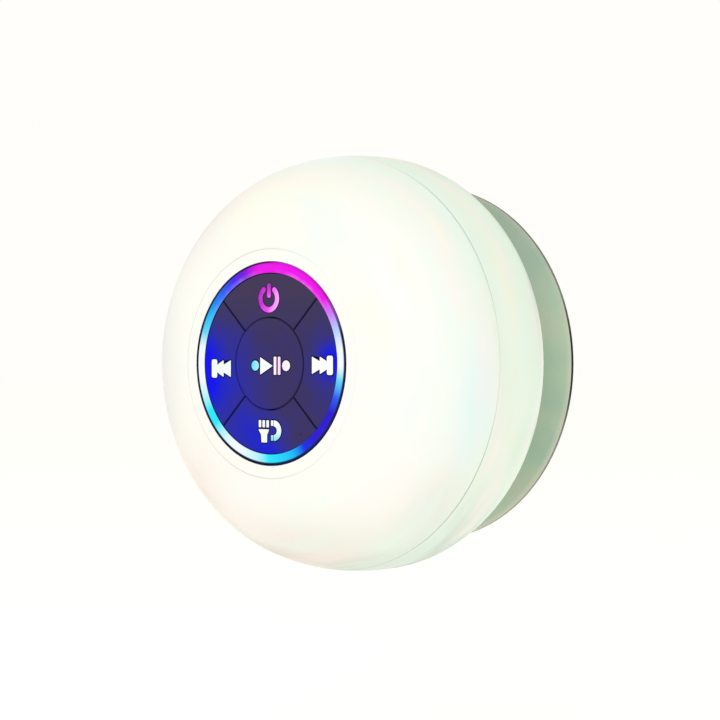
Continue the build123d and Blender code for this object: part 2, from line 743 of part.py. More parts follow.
# ---- suction cup ------------------------------------------------------------------------------------
def suction_cup():
    """Silicone bell with a flat sealing lip, a neck, and a stem with a bulb that snaps in the socket."""
    lip_t, face = 0.8, 3.4
    neck_r = 9.6
    shoulder = SOCKET_END + 0.3
    apex = -8.6
    cavity_r = CUP_R - face
    cavity_bend = (cavity_r**2 + apex**2) / (2 * abs(apex))
    half = cavity_r / 2
    half_y = apex + cavity_bend - sqrt(cavity_bend**2 - half**2)
    stem_r = STEM_R - STEM_CLEARANCE
    collar = (13.2, -11.9)
    bell = Spline(collar, (24.0, -8.7), (33.0, -3.6), (CUP_R, -lip_t), tangents=[(1, 0.12), (1, 0.62)])
    lip = Polyline((CUP_R, -lip_t), (CUP_R, 0), (cavity_r, 0))
    cavity = ThreePointArc((cavity_r, 0), (half, half_y), (0, apex))
    stem = Polyline(
        (0, apex),
        (0, BULB_FRONT),
        (BULB_R - 0.6, BULB_FRONT),
        (BULB_R, BULB_FRONT + 0.6),
        (BULB_R, BULB_BACK),
        (stem_r, BULB_BACK),
        (stem_r, shoulder),
        (neck_r, shoulder),
        (10.4, shoulder + 0.8),
        collar,
    )
    return turned_edges(bell, lip, cavity, stem)


# ---- wires ------------------------------------------------------------------------------------------
def wire(points, radius):
    """Insulated wire: straight runs joined by arcs as large as their runs allow."""
    vectors = [Vector(*p) for p in points]
    radii = []
    for a, b, c in zip(vectors, vectors[1:], vectors[2:]):
        half_turn = radians((b - a).get_angle(c - b)) / 2
        shorter = min((b - a).length, (c - b).length)
        radii.append(0.45 * shorter * cos(half_turn) / sin(half_turn))
    path = FilletPolyline(*points, radius=radii)
    section = Plane(path @ 0, z_dir=path % 0) * Circle(radius)
    print("bend radii of a wire of radius", radius, [round(r, 1) for r in radii])
    return sweep(section, path=path)


def wires(routes, radius):
    return bundle(wire(points, radius) for points in routes)


def speaker_wires():
    """Two wires from the driver's terminals to the main board."""
    start_y = FLANGE_FACE - TERMINAL_L
    routes = [
        [(x, start_y, 18.35), (x, -30.0, 18.35), (1.5 * x, -36.4, 17.4), (1.5 * x, BOARD_BACK, 17.4)]
        for x in (-1.8, 1.8)
    ]
    return wires(routes, 0.4)


def battery_wires():
    """Two wires from the cell's seam to the main board."""
    exit_y = PAD_BACK + 2.4
    routes = [
        [(17.0, exit_y, z), (19.2, exit_y, z), (20.8, exit_y - 1.4, z), (20.8, BOARD_BACK, z)]
        for z in (-3.0, 3.0)
    ]
    return wires(routes, 0.4)


def charge_wires():
    """Two wires from the charging board, through the lamp board's bore, to the main board."""
    start_y = charge_board_back() - 1.0
    routes = [
        [
            (x, start_y, -29.4),
            (x, -25.2, -29.4),
            (x, -28.0, -24.4),
            (x, -31.4, -18.6),
            (x, -36.8, -17.6),
            (x, BOARD_BACK, -17.6),
        ]
        for x in (-2.0, 2.0)
    ]
    return wires(routes, 0.4)


def lamp_wires():
    """Three wires from the lamp board to the main board."""
    routes = [
        [(-21.2, LAMP_FRONT, z), (-21.2, -35.4, z), (-19.8, -39.2, z), (-19.8, BOARD_BACK, z)]
        for z in (-4.0, 0.0, 4.0)
    ]
    return wires(routes, 0.4)


# ---- everything, one file per node ------------------------------------------------------------------
def build():
    nodes = {
        make.__name__: make()
        for make in (
            front_shell, rear_shell, case_seal, case_screws,
            light_ring, key_frame, keypad_web,
            switch_bodies, main_board, board_screws, ring_leds, bluetooth_chip, amplifier_chip,
            board_capacitors, microphone, microphone_boot, battery_pad, battery,
            lamp_board, lamp_leds, lamp_screws,
            speaker_mesh, driver_gasket, driver_basket, driver_top_plate, driver_magnet,
            driver_yoke, voice_coil, driver_cone, dust_cap, driver_surround, driver_spider,
            driver_terminals, driver_screws,
            charge_board, charge_socket, charge_tongue, charge_screws, port_plug, port_strap,
            suction_cup,
            speaker_wires, battery_wires, charge_wires, lamp_wires,
        )
    }
    for name, angle in KEYS.items():
        nodes["key_" + name] = key_pad(angle)
        nodes["plunger_" + name] = plunger(angle)
    return nodes


if __name__ == "__main__":
    os.makedirs("parts", exist_ok=True)
    for name, shape in build().items():
        export_step(shape, f"parts/{name}.step")
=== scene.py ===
from math import atan2, cos, hypot, pi, radians, sin

import bmesh
import bpy
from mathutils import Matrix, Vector
from mathutils.geometry import tessellate_polygon


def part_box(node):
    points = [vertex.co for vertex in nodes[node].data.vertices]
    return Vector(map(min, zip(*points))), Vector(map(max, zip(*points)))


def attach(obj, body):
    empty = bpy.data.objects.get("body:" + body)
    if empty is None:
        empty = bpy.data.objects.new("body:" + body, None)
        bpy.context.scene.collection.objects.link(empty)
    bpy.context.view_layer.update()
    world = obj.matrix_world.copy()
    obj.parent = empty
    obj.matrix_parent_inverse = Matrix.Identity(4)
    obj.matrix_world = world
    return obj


# Looks for a round, wall-hung shower speaker.  Metres, +Z up, the wall is the plane y = 0 and the
# user stands on the -Y side.  The CAD nodes keep their shapes; this script gives them materials and
# adds the lit symbols on the keys and small surface detail.
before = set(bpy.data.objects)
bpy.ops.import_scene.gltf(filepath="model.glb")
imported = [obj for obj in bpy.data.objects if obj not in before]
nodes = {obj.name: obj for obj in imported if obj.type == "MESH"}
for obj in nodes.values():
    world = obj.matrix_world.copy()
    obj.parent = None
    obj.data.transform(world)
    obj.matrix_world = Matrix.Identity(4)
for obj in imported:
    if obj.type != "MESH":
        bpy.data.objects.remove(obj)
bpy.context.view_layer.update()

MM = 0.001

# ---- driving values, read from the frame where a node gives them ---------------------------------
KEY_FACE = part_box("key_play_pause")[0].y          # front face of the keys
BODY_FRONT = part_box("light_ring")[0].y
SEAM_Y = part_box("rear_shell")[0].y                # where the two shells meet
RING_IN, RING_OUT = 17.9 * MM, 19.8 * MM
OPENING_R = 20.05 * MM                            # hole in the front shell that the ring stands in
LAND_R = 22.6 * MM                                # flat land round the ring
CENTRE_KEY_R = 9.1 * MM                           # middle of the gap round the centre key
LEGEND_RISE = 0.07 * MM                           # printed symbols stand this far off the keys
BORDER_RISE, BORDER_W = 0.03 * MM, 0.24 * MM      # dark border round each symbol
VIEW_AZIMUTH = 40.2                               # camera's place round the object, degrees
VIEW_DISTANCE = 0.354                             # camera to the light ring's front, along the view
FLOOR_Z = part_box("rear_shell")[0].z - 0.055


# ---- colour --------------------------------------------------------------------------------------
def linear(r, g, b, a=1.0):
    """Scene colour from the usual 0-255 screen values."""
    def channel(v):
        v /= 255
        return v / 12.92 if v <= 0.04045 else ((v + 0.055) / 1.055) ** 2.4
    return channel(r), channel(g), channel(b), a


def glow(r, g, b, room):
    """Emission that brings a surface up to a screen colour when the room alone gives it some light."""
    return tuple(max(0.0, c - room) for c in linear(r, g, b)[:3]) + (1.0,)


# ---- node trees ------------------------------------------------------------------------------------
class Surface:
    """A material's node tree, with short names for the nodes used here."""

    def __init__(self, name, **sockets):
        self.material = bpy.data.materials.new(name)
        self.material.use_nodes = True
        self.tree = self.material.node_tree
        self.shader = self.tree.nodes["Principled BSDF"]
        self.position = self.node("ShaderNodeTexCoord").outputs["Object"]
        for key, value in sockets.items():
            self.shader.inputs[key.replace("_", " ")].default_value = value

    def node(self, kind, **settings):
        made = self.tree.nodes.new(kind)
        for key, value in settings.items():
            setattr(made, key, value)
        return made

    def put(self, socket, value):
        """Links a socket to another node's output, or gives it a plain value."""
        if isinstance(value, bpy.types.NodeSocket):
            self.tree.links.new(value, socket)
        else:
            socket.default_value = value

    def math(self, operation, a, b=0.0):
        made = self.node("ShaderNodeMath", operation=operation)
        for socket, value in zip(made.inputs, (a, b)):
            self.put(socket, value)
        return made.outputs[0]

    def product(self, *values):
        """All the values multiplied together."""
        result = values[0]
        for value in values[1:]:
            result = self.math("MULTIPLY", result, value)
        return result

    def axis(self, letter):
        split = self.node("ShaderNodeSeparateXYZ")
        self.put(split.inputs[0], self.position)
        return split.outputs[letter]

    def vector(self, operation, a, b):
        made = self.node("ShaderNodeVectorMath", operation=operation)
        self.put(made.inputs[0], a)
        self.put(made.inputs[1], b)
        return made.outputs["Value"] if operation == "DISTANCE" else made.outputs["Vector"]

    def scaled(self, x, y, z):
        """Object position stretched by a factor along each axis."""
        return self.vector("MULTIPLY", self.position, (x, y, z))

    def noise(self, per_metre, detail=3.0, place=None):
        made = self.node("ShaderNodeTexNoise")
        self.put(made.inputs["Vector"], place or self.position)
        made.inputs["Scale"].default_value = per_metre
        made.inputs["Detail"].default_value = detail
        return made.outputs["Fac"]

    def cells(self, per_metre, place=None, feature="F1"):
        made = self.node("ShaderNodeTexVoronoi", feature=feature)
        self.put(made.inputs["Vector"], place or self.position)
        made.inputs["Scale"].default_value = per_metre
        return made.outputs["Distance"]

    def wave(self, per_metre, direction="X", distortion=0.0, place=None, rings=False):
        made = self.node("ShaderNodeTexWave", wave_type="RINGS" if rings else "BANDS")
        setattr(made, "rings_direction" if rings else "bands_direction", direction)
        self.put(made.inputs["Vector"], place or self.position)
        made.inputs["Scale"].default_value = per_metre
        made.inputs["Distortion"].default_value = distortion
        return made.outputs["Fac"]

    def span(self, value, low, high, to_low=0.0, to_high=1.0, smooth=False):
        """Maps low..high to to_low..to_high, clamped."""
        made = self.node("ShaderNodeMapRange")
        if smooth:
            made.interpolation_type = "SMOOTHSTEP"
        for socket, number in zip(made.inputs[1:5], (low, high, to_low, to_high)):
            socket.default_value = number
        self.put(made.inputs["Value"], value)
        return made.outputs["Result"]

    def ramp(self, value, stops, interpolation="LINEAR"):
        """Colour ramp from (position, colour) stops."""
        made = self.node("ShaderNodeValToRGB")
        made.color_ramp.interpolation = interpolation
        elements = made.color_ramp.elements
        while len(elements) > 1:
            elements.remove(elements[-1])
        for i, (position, colour) in enumerate(stops):
            element = elements[0] if i == 0 else elements.new(position)
            element.position = position
            element.color = colour
        self.put(made.inputs["Fac"], value)
        return made.outputs["Color"]

    def mix(self, share, a, b, blend="MIX"):
        made = self.node("ShaderNodeMix", data_type="RGBA", blend_type=blend)
        self.put(made.inputs["Factor"], share)
        self.put(made.inputs[6], a)
        self.put(made.inputs[7], b)
        return made.outputs[2]

    def bump(self, height, depth, strength=1.0):
        """Adds relief to the shader; depth is the height of a step from 0 to 1, in metres."""
        made = self.node("ShaderNodeBump")
        made.inputs["Distance"].default_value = depth
        made.inputs["Strength"].default_value = strength
        self.put(made.inputs["Height"], height)
        links = self.shader.inputs["Normal"].links
        if links:
            self.put(made.inputs["Normal"], links[0].from_socket)
        self.put(self.shader.inputs["Normal"], made.outputs["Normal"])

    def paint(self, **sockets):
        """Links or sets sockets of the shader by name."""
        for key, value in sockets.items():
            self.put(self.shader.inputs[key.replace("_", " ")], value)
        return self.material

    def line(self, value, place, half_width):
        """1 where a value is at a place, falling to 0 at half a width to either side."""
        away = self.math("ABSOLUTE", self.math("SUBTRACT", value, place))
        return self.span(away, 0.5 * half_width, half_width, 1.0, 0.0)

    def patch(self, place, reach):
        """1 at a point of the object, falling smoothly to 0 on an ellipsoid round it; millimetres."""
        shifted = self.vector("SUBTRACT", self.position, tuple(c * MM for c in place))
        squeezed = self.vector("MULTIPLY", shifted, tuple(1 / (c * MM) for c in reach))
        away = self.vector("DISTANCE", squeezed, (0, 0, 0))
        return self.span(away, 0.0, 1.0, 1.0, 0.0, smooth=True)

    def clock(self):
        """0 to 1 clockwise round the Y axis as the user sees it, starting at the top."""
        turn = self.math("ARCTAN2", self.axis("X"), self.axis("Z"))
        return self.math("FRACT", self.math("ADD", self.math("DIVIDE", turn, 2 * pi), 1.0))

    def radius(self):
        """Distance from the Y axis."""
        flat = self.vector("MULTIPLY", self.position, (1, 0, 1))
        return self.vector("DISTANCE", flat, (0, 0, 0))


def give(material, *names):
    """Puts one material on CAD nodes or pieces."""
    for name in names:
        piece = nodes[name] if isinstance(name, str) else name
        piece.data.materials.clear()
        piece.data.materials.append(material)


# ---- the lit, milky casing ---------------------------------------------------------------------------
LAMP_LIGHT = [         # millimetres along the axis, light that the plastic gives off there
    (-50.4, (0.375, 0.37, 0.32)), (-44.0, (0.375, 0.375, 0.315)), (-38.0, (0.34, 0.39, 0.30)),
    (-32.0, (0.30, 0.385, 0.295)), (-30.0, (0.27, 0.36, 0.25)), (-25.0, (0.315, 0.38, 0.26)),
    (-20.0, (0.29, 0.39, 0.28)), (-17.4, (0.28, 0.40, 0.28)), (-16.2, (0.18, 0.24, 0.17)),
]
GLOW_AND_PAINTED_LIGHT_PATCHES = [       # centre and reach in millimetres, light there, strength; glow tints, with painted shade and a painted highlight among them
    ((31, -44, 1), (36, 15, 38), (0.39, 0.382, 0.365), 1.0),           # white front, towards the right
    ((-4, -45, 34), (26, 12, 16), (0.395, 0.39, 0.265), 0.9),          # yellowish top
    ((-24, -42, 30), (18, 12, 16), (0.33, 0.27, 0.25), 0.9),           # pink upper left
    ((-42, -38, 2), (18, 17, 28), (0.21, 0.155, 0.25), 1.0),           # lilac grey left, painted shade on the left side
    ((-25, -46, -25), (22, 12, 19), (0.37, 0.245, 0.20), 0.9),         # peach lower left
    ((2, -42, -38), (24, 14, 16), (0.41, 0.30, 0.245), 0.9),           # peach bottom
    ((40, -36, -8), (12, 7, 20), (0.22, 0.38, 0.37), 0.95),            # cool mint in front of the seam
    ((40, -26.5, 13), (9, 4, 17), (0.36, 0.38, 0.245), 0.8),           # warm streak behind it
    ((24, -23, -40), (36, 15, 30), (0.10, 0.20, 0.12), 1.0),           # shaded underside of the rear band
    ((-2, -34, 42), (12, 9, 8), (0.48, 0.42, 0.48), 1.0),              # bluish top edge
    ((19, -17.5, 38), (22, 2.5, 10), (0.09, 0.11, 0.07), 1.0),         # painted shade on the rim above, next to the cup
    ((17, -22, 40), (14, 4.5, 8), (0.20, 0.29, 0.17), 0.8),            # painted shade in front of it
    ((43, -16.9, 0), (5, 1.8, 26), (0.38, 0.50, 0.42), 1.0),           # painted highlight along the rim at the right
    ((29, -36, -26), (16, 9, 14), (0.27, 0.275, 0.225), 0.8),          # painted shade, duller lower right
    ((39, -21, -17), (7, 6, 12), (0.19, 0.34, 0.21), 0.7),             # greener behind it
    ((-35, -45, -11), (12, 7, 13), (0.17, 0.17, 0.22), 1.0),           # painted shade towards the left side
    ((-24, -41, -30), (19, 11, 18), (0.15, 0.10, 0.07), 0.9),          # painted shade on the lower left
    ((-30, -48, -3), (12, 5, 24), (0.27, 0.25, 0.24), 0.75),           # painted shade left of the ring
    ((-8, -38, -38), (20, 8, 9), (0.15, 0.11, 0.06), 1.0),             # painted shade on the bottom
    ((11, -31, -42), (22, 13, 9), (0.11, 0.12, 0.05), 1.0),            # painted shade on the underside, round the seam
    ((11, -22, -43), (16, 7, 9), (0.02, 0.05, 0.0), 1.0),              # painted shade at the rear rim
]
STREAKS = [            # drift noise where a tint starts and ends, light there, strength on the left
    (0.50, 0.66, (0.43, 0.345, 0.33), 0.5), (0.62, 0.74, (0.40, 0.40, 0.26), 0.5),
    (0.50, 0.36, (0.28, 0.41, 0.34), 0.1),
]
SHADE = (0.05, 0.065, 0.055, 1)        # painted shade in the grooves between mouldings
GAP_PAINTED_SHADOW = (0.003, 0.003, 0.014, 1)    # painted shadow in the gaps round the ring and the keys
RING_EDGE_PAINTED_SHADOW = (0.004, 0.010, 0.055, 1)    # painted shadow at the outer edge of the light ring


def milky(name):
    """Smooth milky plastic lit from inside: soft patches of tint, and drifts that run round the body; some
    patches are painted shade along the left and lower silhouette, on the underside and above by the cup,
    and one is a painted highlight at the right edge.
    """
    s = Surface(name, Roughness=0.42, Specular_IOR_Level=0.2, Subsurface_Weight=0.2, Subsurface_Scale=0.003,
                Emission_Strength=1.0)
    drift = s.noise(22.0, 1.5)
    base = s.mix(s.span(drift, 0.35, 0.65), (0.57, 0.565, 0.55, 1), (0.56, 0.57, 0.545, 1))
    # Painted shade in the base colour: darker towards the underside, and on the rear rim above, next to the
    # cup.
    under = s.span(s.axis("Z"), -24 * MM, -43 * MM, 0.0, 0.45, smooth=True)
    painted_shade_rim = s.product(s.patch((22, -17, 37), (20, 3, 9)), 0.8)
    base = s.mix(s.math("MAXIMUM", under, painted_shade_rim), base, (0.3, 0.31, 0.28, 1))
    wander = s.span(s.noise(30.0, 2.0), 0.3, 0.7, -0.0015, 0.0015)
    depth = s.math("ADD", s.axis("Y"), wander)
    first, last = LAMP_LIGHT[0][0], LAMP_LIGHT[-1][0]
    stops = [((y - first) / (last - first), rgb + (1.0,)) for y, rgb in LAMP_LIGHT]
    lit = s.ramp(s.span(depth, first * MM, last * MM), stops)
    for place, reach, rgb, strength in GLOW_AND_PAINTED_LIGHT_PATCHES:
        lit = s.mix(s.product(s.patch(place, reach), strength), lit, rgb + (1.0,))
    streaks = s.noise(150.0, 2.0, s.scaled(0.22, 1.0, 0.22))
    for start, finish, tint, left in STREAKS:
        share = s.product(s.span(streaks, start, finish), s.span(s.axis("X"), -0.022, 0.0, left, 0.5))
        lit = s.mix(share, lit, tint + (1.0,))
    back = s.product(s.span(s.axis("Y"), -0.0177, -0.0172), s.span(s.radius(), 0.0405, 0.038))
    lit = s.mix(back, lit, (0.16, 0.18, 0.16, 1))
    # Painted shade of the thin casing lines goes into both the base colour and the glow.
    for share, colour in painted_casing_shade(s):
        base = s.mix(share, base, colour)
        lit = s.mix(share, lit, colour)
    s.bump(s.noise(2600.0, 2.0), 0.00001)
    s.bump(s.noise(110.0, 1.0), 0.00005)
    return s.paint(Base_Color=base, Emission_Color=lit)


def painted_casing_shade(s):
    """Painted shade in thin dark lines of the casing: the seam, the land's edge, and the gap round the
    light ring; the seam and land lines change strength round the body.
    """
    height = s.math("ABSOLUTE", s.axis("Z"))
    seam = s.product(s.line(s.axis("Y"), SEAM_Y, 0.0002), s.span(height, 0.008, 0.024, 0.15, 0.42),
                     s.span(height, 0.034, 0.041, 1.0, 0.2))
    front = s.span(s.axis("Y"), BODY_FRONT + 0.0006, BODY_FRONT + 0.0004)
    fading = s.span(s.axis("X"), -0.006, 0.016, 0.26, 0.03)
    land = s.product(s.line(s.radius(), LAND_R, 0.00018), front, fading)
    wall = s.span(s.axis("Y"), BODY_FRONT + 0.003, BODY_FRONT + 0.0028)
    gap = s.product(s.span(s.radius(), OPENING_R + 0.00012, OPENING_R + 0.00006), wall)
    return (seam, SHADE), (land, SHADE), (gap, GAP_PAINTED_SHADOW)


# ---- the light ring ----------------------------------------------------------------------------------
RING_TINTS = {         # screen colours that the ring's lamps blend between
    "magenta": (240, 8, 235), "lilac": (205, 120, 250), "haze": (180, 205, 250), "white": (242, 250, 255),
    "ice": (195, 244, 254), "sky": (95, 212, 245), "cyan": (40, 232, 250), "azure": (16, 188, 248),
    "cobalt": (12, 135, 250), "blue": (40, 90, 240), "deep": (5, 46, 230), "indigo": (40, 12, 208),
    "violet": (66, 38, 242), "purple": (125, 5, 222),
}
RING_COLOURS = [       # clock angle in degrees, tint
    (0, "magenta"), (50, "magenta"), (60, "lilac"), (70, "haze"), (82, "white"), (92, "white"),
    (100, "sky"), (110, "blue"), (120, "indigo"), (140, "indigo"), (150, "deep"), (160, "azure"),
    (180, "cyan"), (190, "ice"), (205, "white"), (212, "white"), (220, "ice"), (230, "cyan"),
    (240, "cyan"), (250, "ice"), (260, "white"), (280, "white"), (290, "sky"), (300, "azure"),
    (310, "cobalt"), (320, "blue"), (330, "violet"), (340, "purple"), (352, "magenta"), (360, "magenta"),
]


def ring_light():
    """Clear light guide: colours run round it, with a painted highlight on part of its inner half, painted
    shadow at its outer edge and painted shadow in its bore at the keys' face.
    """
    s = Surface("lit_ring", Roughness=0.3, Specular_IOR_Level=0.04, IOR=1.5, Emission_Strength=1.0)
    colour = s.ramp(s.clock(), [(a / 360, linear(*RING_TINTS[tint])) for a, tint in RING_COLOURS])
    grain = s.noise(420.0, 2.0)
    # Painted highlight: paler on the inner half, on the top part and away from the middle line.
    inner_half = s.span(s.radius(), RING_IN + 0.0002, RING_IN + 0.0010, 1.0, 0.0, smooth=True)
    beside = s.span(s.math("ABSOLUTE", s.axis("X")), 0.001, 0.007)
    upper_painted_light = s.span(s.axis("Z"), 0.002, 0.014)
    painted_highlight = s.product(inner_half, upper_painted_light, beside, s.span(grain, 0.3, 0.7, 0.02, 0.15))
    lit = s.mix(painted_highlight, colour, linear(255, 236, 255))
    # Painted shadow at the outer edge, strongest low down, and in the bore at the keys' face.
    painted_shade_rim = s.span(s.radius(), RING_OUT - 0.0004, RING_OUT - 0.0002)
    lit = s.mix(s.product(painted_shade_rim, s.span(s.axis("Z"), 0.006, 0.017, 1.0, 0.2)), lit, RING_EDGE_PAINTED_SHADOW)
    bore = s.span(s.radius(), RING_IN + 0.00008, RING_IN + 0.00004)
    lit = s.mix(s.product(bore, s.span(s.axis("Y"), KEY_FACE, KEY_FACE + 0.0001)), lit, GAP_PAINTED_SHADOW)
    s.bump(grain, 0.00003)
    base = s.mix(grain, (0.004, 0.004, 0.008, 1), (0.01, 0.01, 0.014, 1))
    return s.paint(Base_Color=base, Emission_Color=lit)


# ---- keys --------------------------------------------------------------------------------------------
KEY_ROOM = 0.005       # brightness that the room alone gives a dark key
KEY_LAMPS = [          # centre (x, z) and reach (across, up) in millimetres, strength
    ((-19, -1), (9, 13), 0.75), ((-15, -4), (19, 19), 0.6), ((-3, -15), (12, 9), 0.6),
    ((1, -18), (8, 4), 0.35), ((17, 0.5), (6, 6), 0.75), ((15, -1), (8, 12), 0.3),
]
KEY_TONES = [          # share of the lamps' light, screen colour
    (0.0, (60, 52, 96)), (0.35, (48, 47, 150)), (0.6, (34, 40, 188)), (0.85, (20, 28, 220)),
    (1.0, (4, 12, 240)),
]
KEYS = ("power", "previous", "next", "light_call", "play_pause")


def key_coat():
    """Dark coated silicone, glowing blue where the lamps behind it are strongest, with painted shadow in
    the gaps between the keys.
    """
    s = Surface("key_coat", Roughness=0.45, Specular_IOR_Level=0.05, Emission_Strength=1.0)
    mottle = s.noise(260.0, 3.0)
    amount = s.span(mottle, 0.3, 0.7, -0.06, 0.06)
    for (x, z), (across, up), strength in KEY_LAMPS:
        lamp = s.patch((x, KEY_FACE / MM, z), (across, 100, up))
        amount = s.math("ADD", amount, s.product(lamp, strength))
    lit = s.ramp(amount, [(share, glow(*rgb, KEY_ROOM)) for share, rgb in KEY_TONES])
    above = s.product(s.span(s.axis("Z"), 0.004, 0.015), s.span(amount, 0.0, 0.3, 0.9, 0.0))
    lit = s.mix(above, lit, glow(68, 60, 80, KEY_ROOM))
    # Painted shadow in the gaps between the keys.
    lit = s.mix(s.product(key_gap_shade(s), 0.85), lit, GAP_PAINTED_SHADOW)
    s.bump(s.noise(3200.0, 2.0), 0.00001)
    s.bump(mottle, 0.00003)
    return s.paint(Base_Color=s.mix(mottle, linear(8, 8, 24), linear(16, 14, 34)), Emission_Color=lit)


def key_gap_shade(s):
    """1 along the keys' edges, where painted shadow goes: round the centre key, stronger on the right, and
    on the two diagonals outside it.
    """
    clearer = s.span(s.axis("X"), -0.008, 0.006, 0.6, 0.95)
    circle = s.product(s.line(s.radius(), CENTRE_KEY_R, 0.00026), clearer)
    across, up = s.math("ABSOLUTE", s.axis("X")), s.math("ABSOLUTE", s.axis("Z"))
    diagonal = s.line(s.math("SUBTRACT", across, up), 0.0, 0.00045)
    outside = s.math("GREATER_THAN", s.radius(), CENTRE_KEY_R)
    return s.math("MAXIMUM", circle, s.product(diagonal, outside))


# ---- silicone cup --------------------------------------------------------------------------------------
def cup_silicone():
    """Frosted grey-green silicone, paler in broad soft streaks; painted shade darkens it towards the top, a
    painted highlight runs just inside its edge, painted shade darkens its thin outer edge, and it carries a
    painted glow.
    """
    s = Surface("frosted_silicone", Roughness=0.5, IOR=1.41, Specular_IOR_Level=0.2, Subsurface_Weight=0.25,
                Subsurface_Scale=0.003, Emission_Strength=1.0)
    cloud = s.noise(70.0, 2.0, s.scaled(1, 0.4, 1))
    greens = [(0.34, linear(158, 182, 162)), (0.5, linear(168, 187, 163)), (0.66, linear(177, 185, 166))]
    base = s.ramp(cloud, greens)
    # Painted shade: darker towards the top.
    upper_painted_light = s.span(s.axis("Z"), 0.002, 0.034, 0.0, 0.5, smooth=True)
    base = s.mix(upper_painted_light, base, linear(120, 136, 124))
    # Painted highlight just inside the lip, stronger low down.
    painted_lip_highlight = s.product(s.span(s.radius(), 0.0372, 0.0379), s.span(s.axis("Y"), -0.0004, -0.0008))
    base = s.mix(s.product(painted_lip_highlight, s.span(s.axis("Z"), 0.01, -0.02, 0.1, 0.4)), base, linear(212, 206, 196))
    # Painted shade along the thin cut edge of the lip, strongest at mid height.
    painted_shade_cut = s.product(s.span(s.radius(), 0.03812, 0.03818), s.span(s.axis("Y"), -0.0008, -0.0007))
    height = s.math("ABSOLUTE", s.axis("Z"))
    base = s.mix(s.product(painted_shade_cut, s.span(height, 0.006, 0.015, 1.0, 0.55)), base, linear(14, 22, 16))
    s.bump(s.noise(1500.0, 3.0), 0.00002)
    s.bump(s.wave(90.0, "Y", rings=True), 0.00003)
    # The silicone holds no lamp; its glow of about a seventh of its colour is painted light.
    return s.paint(Base_Color=base, Emission_Color=s.mix(0.86, base, (0, 0, 0, 1)))


# ---- plain materials of the inside -----------------------------------------------------------------------
def moulded(name, colour, roughness=0.45, grain=900.0, depth=0.00003, metallic=0.0, spread=0.12, **more):
    """Moulded, cast or plated surface: colour drifts by spread, with grain in its relief and gloss."""
    s = Surface(name, Metallic=metallic, **more)
    cloud = s.noise(grain / 8, 3.0)
    fine = s.noise(grain, 3.0)
    dark = tuple(c * (1 - spread) for c in colour[:3]) + (1.0,)
    light = tuple(min(1.0, c * (1 + spread)) for c in colour[:3]) + (1.0,)
    rough = s.span(fine, 0.3, 0.7, max(0.03, roughness - 0.08), roughness + 0.08)
    s.bump(fine, depth)
    return s.paint(Base_Color=s.mix(s.span(cloud, 0.3, 0.7), dark, light), Roughness=rough)


def turned_metal(name, colour, roughness=0.28):
    """Plated or turned metal with fine rings round the Y axis."""
    s = Surface(name, Metallic=1.0)
    rings = s.wave(1800.0, "Y", 1.5, rings=True)
    cloud = s.noise(250.0, 3.0)
    light = tuple(min(1.0, c * 1.15) for c in colour[:3]) + (1.0,)
    s.bump(rings, 0.000008)
    return s.paint(
        Base_Color=s.mix(cloud, colour, light),
        Roughness=s.span(cloud, 0.3, 0.7, roughness - 0.07, roughness + 0.1),
    )


def circuit_board():
    """Green solder mask over copper tracks, with tinned pads."""
    s = Surface("solder_mask", Coat_Weight=0.4, Coat_Roughness=0.15)
    tracks = s.math("GREATER_THAN", s.wave(190.0, "X", 9.0), 0.72)
    crossing = s.math("GREATER_THAN", s.wave(150.0, "Z", 8.0), 0.78)
    copper = s.math("MAXIMUM", tracks, crossing)
    pads = s.math("LESS_THAN", s.cells(240.0), 0.16)
    mask = s.mix(copper, linear(14, 82, 44), linear(34, 118, 62))
    colour = s.mix(pads, mask, linear(196, 196, 188))
    s.bump(s.math("MAXIMUM", copper, pads), 0.00003)
    return s.paint(Base_Color=colour, Metallic=s.math("MULTIPLY", pads, 0.9),
                   Roughness=s.span(s.noise(700.0), 0.3, 0.7, 0.28, 0.42))


def woven(name, dark, light, threads):
    """Fine cloth or mesh in two thread directions."""
    s = Surface(name, Roughness=0.75, Sheen_Weight=0.3)
    warp = s.wave(threads, "X")
    weft = s.wave(threads, "Z")
    weave = s.math("MAXIMUM", warp, weft)
    s.bump(weave, 0.00008)
    return s.paint(Base_Color=s.mix(weave, dark, light))


def pressed_paper():
    """Black paper pulp with fibres and faint pressed rings."""
    s = Surface("cone_pulp", Roughness=0.7, Sheen_Weight=0.15)
    fibres = s.noise(900.0, 6.0, s.scaled(1, 1, 4))
    s.bump(fibres, 0.00006)
    s.bump(s.wave(420.0, "Y", rings=True), 0.00005)
    return s.paint(Base_Color=s.mix(fibres, linear(22, 22, 24), linear(58, 57, 60)))


def wound_copper():
    """Enamelled wire wound round the coil's former."""
    s = Surface("coil_winding", Metallic=0.9, Roughness=0.3)
    turns = s.wave(1500.0, "Y")
    s.bump(turns, 0.00005)
    return s.paint(Base_Color=s.mix(turns, linear(120, 58, 30), linear(214, 128, 78)))


def cell_foil():
    """Pouch cell: satin foil with faint wrinkles."""
    s = Surface("pouch_foil", Metallic=0.85)
    wrinkle = s.noise(140.0, 4.0, s.scaled(1, 1, 2.5))
    s.bump(wrinkle, 0.00012)
    return s.paint(Base_Color=s.mix(wrinkle, linear(176, 178, 184), linear(222, 223, 226)),
                   Roughness=s.span(wrinkle, 0.3, 0.7, 0.28, 0.45))


def led_package():
    """White lamp package with a yellow lens that is lit."""
    s = Surface("lamp_package", Roughness=0.35, Emission_Strength=1.5)
    mottle = s.noise(1800.0, 2.0)
    s.bump(mottle, 0.00002)
    return s.paint(Base_Color=s.mix(mottle, linear(236, 230, 196), linear(250, 246, 224)),
                   Emission_Color=s.mix(mottle, linear(255, 240, 190), linear(255, 250, 230)))


